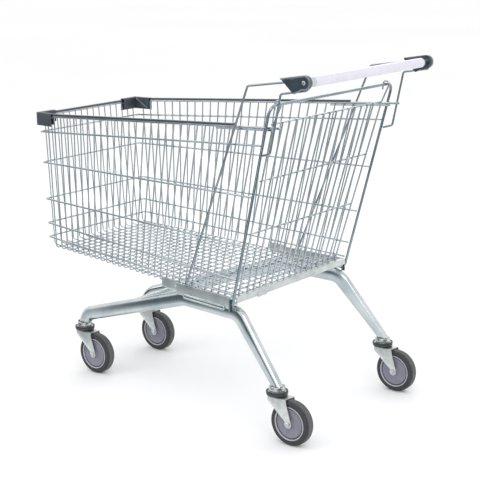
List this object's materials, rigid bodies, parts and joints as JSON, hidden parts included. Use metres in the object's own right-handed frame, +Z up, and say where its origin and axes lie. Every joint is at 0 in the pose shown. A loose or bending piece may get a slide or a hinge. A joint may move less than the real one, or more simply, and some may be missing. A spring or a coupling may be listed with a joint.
{
  "type": "shopping cart",
  "caption": "Wire basket shopping cart on bent oval tube legs, with swivel casters, a slanted rear flap that swings up for nesting, corner bumpers and a clamped push handle.",
  "frame": {"origin": "On the floor, below the centre of the cart's overall length and width, at the height of the wheels' lowest points.", "axes": "+Y is the way the cart is pushed, towards the basket's narrow front; +X is to the pusher's right; +Z is up."},
  "size_m": [0.608, 1.067, 0.9984],
  "materials": {
    "zinc_wire": "bright zinc-plated steel wire, smooth and slightly satin",
    "zinc_tube": "bright zinc-plated flat-oval steel tube",
    "zinc_sheet": "zinc-plated pressed steel sheet, satin",
    "zinc_fork": "zinc-plated pressed fork, satin with a faint grain",
    "bolt_steel": "bright zinc-plated steel",
    "slate_plastic": "dark slate moulded plastic, satin",
    "handle_plastic": "glossy pale lilac-white plastic sleeve",
    "ring_plastic": "black moulded plastic",
    "tyre_rubber": "dark grey rubber, matt",
    "hub_plastic": "lilac-grey moulded plastic, satin"
  },
  "bodies": {
    "frame": {"chassis_tube_left": "zinc_tube", "chassis_tube_right": "zinc_tube", "front_cross_tube": "zinc_tube", "side_plate_left": "zinc_sheet", "side_plate_right": "zinc_sheet", "floor_bracket_left": "zinc_sheet", "floor_bracket_right": "zinc_sheet", "rear_cross_plate": "zinc_sheet", "basket_rim": "zinc_wire", "basket_side_left": "zinc_wire", "basket_side_right": "zinc_wire", "basket_front": "zinc_wire", "basket_floor": "zinc_wire", "rim_profile_left": "slate_plastic", "rim_profile_right": "slate_plastic", "rim_profile_front": "slate_plastic", "corner_bumper_left": "slate_plastic", "corner_bumper_right": "slate_plastic", "rear_frame": "zinc_wire", "handle_bracket_left": "zinc_wire", "handle_bracket_right": "zinc_wire", "handle_clamp_left": "slate_plastic", "handle_clamp_right": "slate_plastic", "clamp_bolt_left": "bolt_steel", "clamp_bolt_right": "bolt_steel", "handle_tube": "handle_plastic", "swivel_stem_front_left": "bolt_steel", "swivel_stem_front_right": "bolt_steel", "swivel_stem_rear_left": "bolt_steel", "swivel_stem_rear_right": "bolt_steel"},
    "flap": {"rear_flap": "zinc_wire"},
    "fork_body_front_left": {"fork_front_left": "zinc_fork", "dust_ring_front_left": "ring_plastic", "axle_bolt_front_left": "bolt_steel"},
    "wheel_front_left": {"wheel_core_front_left": "hub_plastic", "tyre_front_left": "tyre_rubber"},
    "fork_body_front_right": {"fork_front_right": "zinc_fork", "dust_ring_front_right": "ring_plastic", "axle_bolt_front_right": "bolt_steel"},
    "wheel_front_right": {"wheel_core_front_right": "hub_plastic", "tyre_front_right": "tyre_rubber"},
    "fork_body_rear_left": {"fork_rear_left": "zinc_fork", "dust_ring_rear_left": "ring_plastic", "axle_bolt_rear_left": "bolt_steel"},
    "wheel_rear_left": {"wheel_core_rear_left": "hub_plastic", "tyre_rear_left": "tyre_rubber"},
    "fork_body_rear_right": {"fork_rear_right": "zinc_fork", "dust_ring_rear_right": "ring_plastic", "axle_bolt_rear_right": "bolt_steel"},
    "wheel_rear_right": {"wheel_core_rear_right": "hub_plastic", "tyre_rear_right": "tyre_rubber"}
  },
  "joints": [
    {"name": "swivel_front_left", "type": "hinge", "parent": "frame", "child": "fork_body_front_left", "pos_m": [-0.143, 0.4395, 0.137], "axis": [0, 0, 1], "continuous": true},
    {"name": "spin_front_left", "type": "hinge", "parent": "fork_body_front_left", "child": "wheel_front_left", "pos_m": [-0.143, 0.39, 0.0625], "axis": [1, 0, 0], "continuous": true},
    {"name": "swivel_front_right", "type": "hinge", "parent": "frame", "child": "fork_body_front_right", "pos_m": [0.143, 0.4395, 0.137], "axis": [0, 0, 1], "continuous": true},
    {"name": "spin_front_right", "type": "hinge", "parent": "fork_body_front_right", "child": "wheel_front_right", "pos_m": [0.143, 0.39, 0.0625], "axis": [1, 0, 0], "continuous": true},
    {"name": "swivel_rear_left", "type": "hinge", "parent": "frame", "child": "fork_body_rear_left", "pos_m": [-0.264, -0.4005, 0.137], "axis": [0, 0, 1], "continuous": true},
    {"name": "spin_rear_left", "type": "hinge", "parent": "fork_body_rear_left", "child": "wheel_rear_left", "pos_m": [-0.264, -0.45, 0.0625], "axis": [1, 0, 0], "continuous": true},
    {"name": "swivel_rear_right", "type": "hinge", "parent": "frame", "child": "fork_body_rear_right", "pos_m": [0.264, -0.4005, 0.137], "axis": [0, 0, 1], "continuous": true},
    {"name": "spin_rear_right", "type": "hinge", "parent": "fork_body_rear_right", "child": "wheel_rear_right", "pos_m": [0.264, -0.45, 0.0625], "axis": [1, 0, 0], "continuous": true},
    {"name": "flap_swing", "type": "hinge", "parent": "frame", "child": "flap", "pos_m": [0, -0.4045, 0.9125], "axis": [1, 0, 0], "range_deg": [0, 78]}
  ]
}
